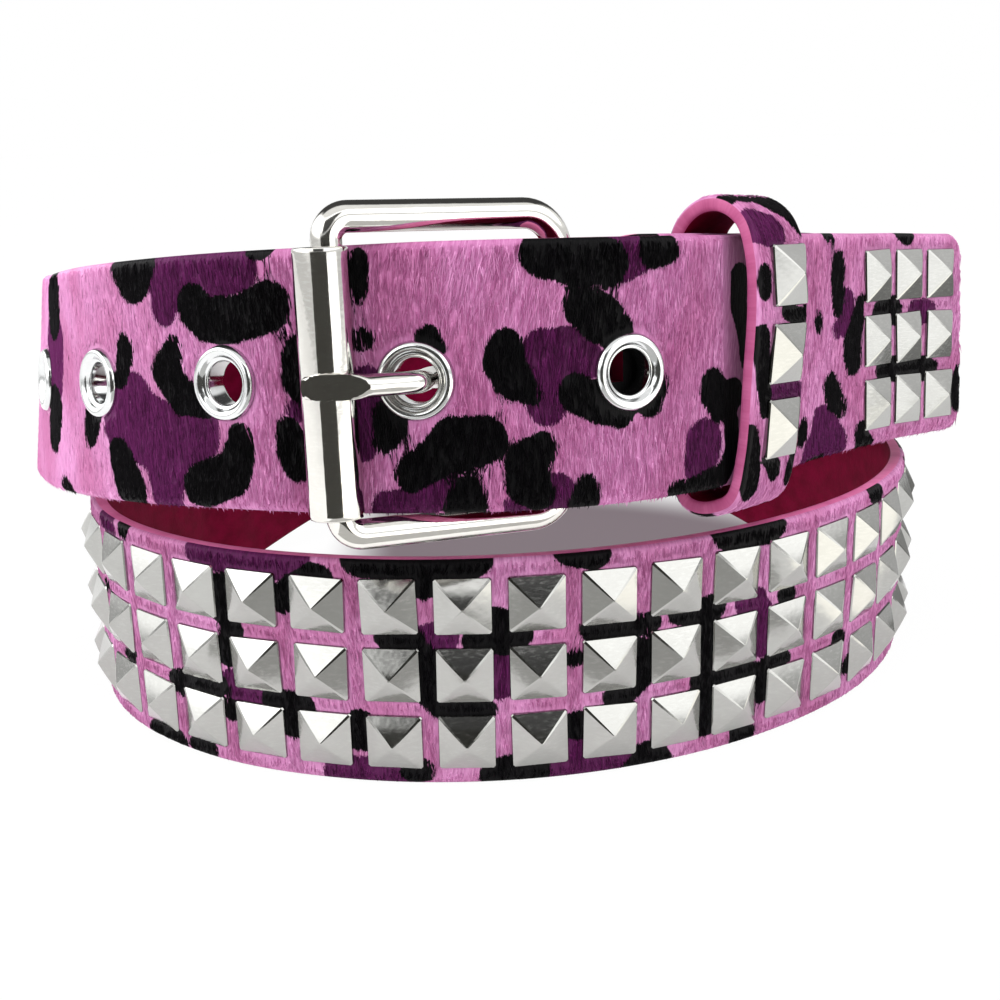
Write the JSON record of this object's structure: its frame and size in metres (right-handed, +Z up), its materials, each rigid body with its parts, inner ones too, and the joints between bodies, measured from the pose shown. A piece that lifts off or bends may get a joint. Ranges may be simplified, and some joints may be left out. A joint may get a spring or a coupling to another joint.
{
  "type": "studded belt",
  "caption": "Furry leopard-print belt with rows of pyramid studs and metal eyelets, closed by a roller buckle and coiled to stand on its edge.",
  "frame": {"origin": "centre of the bounding box on the floor that the lower turn's edge stands on", "axes": "+Z up along the coil's axis, -Y is the front with the buckle, +X the side that the strap's tip points to"},
  "size_m": [0.1844, 0.185, 0.0926],
  "materials": {
    "strap_hide": "pink short-haired hide with a black and purple leopard print, crimson lining",
    "keeper_hide": "pink short-haired hide with a black and purple leopard print",
    "stud_metal": "polished nickel plate",
    "eyelet_metal": "polished nickel plate",
    "buckle_metal": "polished nickel plate"
  },
  "bodies": {
    "belt": {"strap": "strap_hide", "keeper": "keeper_hide", "keeper_stud_1": "stud_metal", "keeper_stud_2": "stud_metal", "keeper_stud_3": "stud_metal", "tip_stud_1": "stud_metal", "tip_stud_2": "stud_metal", "tip_stud_3": "stud_metal", "tip_stud_4": "stud_metal", "tip_stud_5": "stud_metal", "tip_stud_6": "stud_metal", "tip_stud_7": "stud_metal", "tip_stud_8": "stud_metal", "tip_stud_9": "stud_metal", "eyelet_1": "eyelet_metal", "eyelet_2": "eyelet_metal", "eyelet_3": "eyelet_metal", "eyelet_4": "eyelet_metal", "eyelet_5": "eyelet_metal", "eyelet_6": "eyelet_metal", "buckle_frame": "buckle_metal", "prong": "buckle_metal"},
    "roller": {"roller": "buckle_metal"}
  },
  "joints": [
    {"name": "roller_spin", "type": "hinge", "parent": "belt", "child": "roller", "pos_m": [-0.0243, -0.08497, 0.06794], "axis": [-0.015, 0.0978, 0.9951], "continuous": true}
  ]
}
